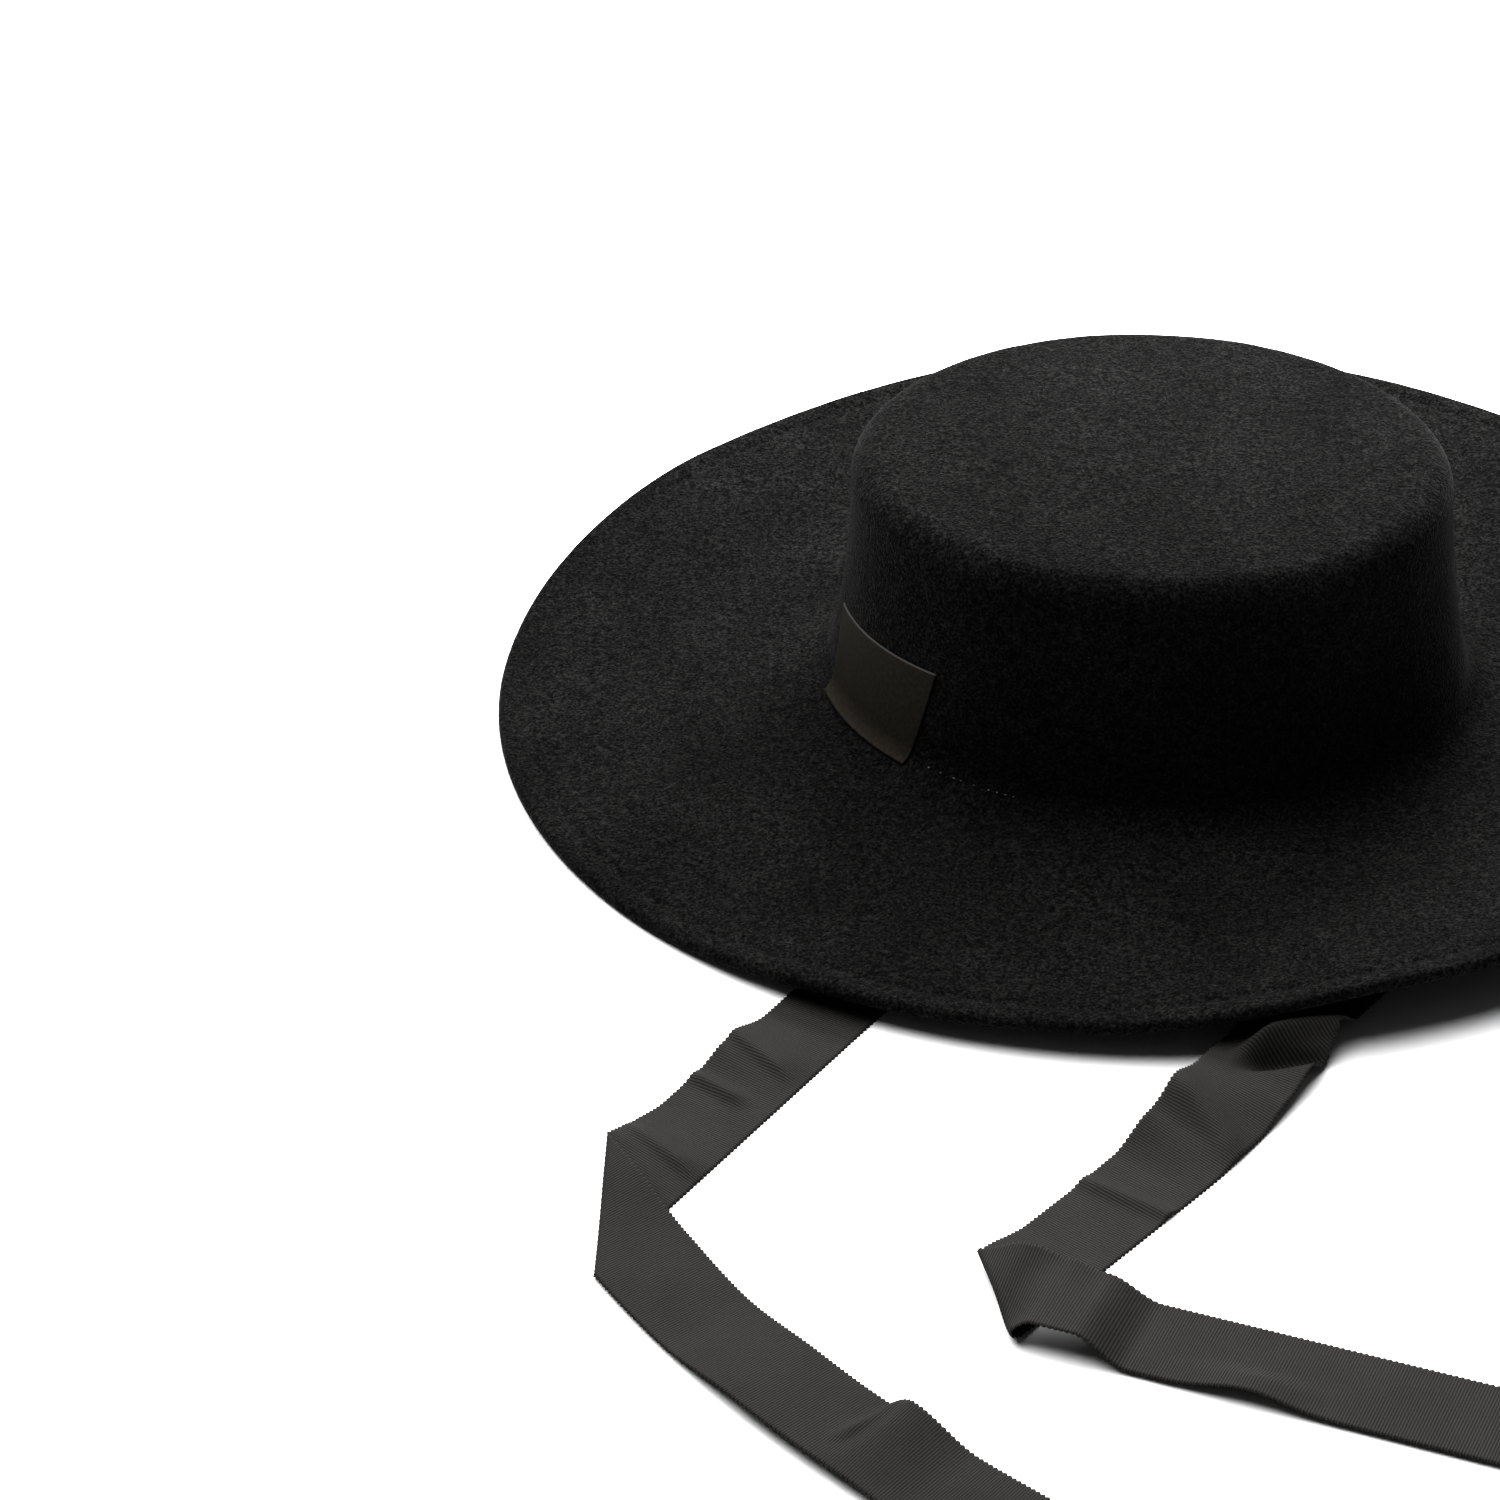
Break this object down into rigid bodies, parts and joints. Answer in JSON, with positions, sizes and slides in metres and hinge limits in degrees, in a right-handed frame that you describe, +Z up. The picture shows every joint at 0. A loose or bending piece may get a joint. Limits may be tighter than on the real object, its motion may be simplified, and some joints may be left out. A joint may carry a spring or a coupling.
{
  "type": "felt boater hat with tie ribbons",
  "caption": "Flat-crowned wide-brimmed black felt hat lying brim down, with a bare woven label at the crown's foot and long ribbed tie ribbons laid out under the brim.",
  "frame": {"origin": "on the surface that the brim rests on, under the middle of the brim", "axes": "+Z up through the crown, X along the head oval's long axis, -Y towards the side where the ribbons come out"},
  "size_m": [0.4072, 0.6089, 0.0891],
  "materials": {
    "felt": "matt black wool felt with a short nap",
    "label": "close satin weave, bare",
    "ribbon": "charcoal cross-ribbed cotton"
  },
  "bodies": {
    "root": {"felt_body": "felt", "label": "label", "ribbon_left": "ribbon", "ribbon_right": "ribbon"}
  },
  "joints": []
}
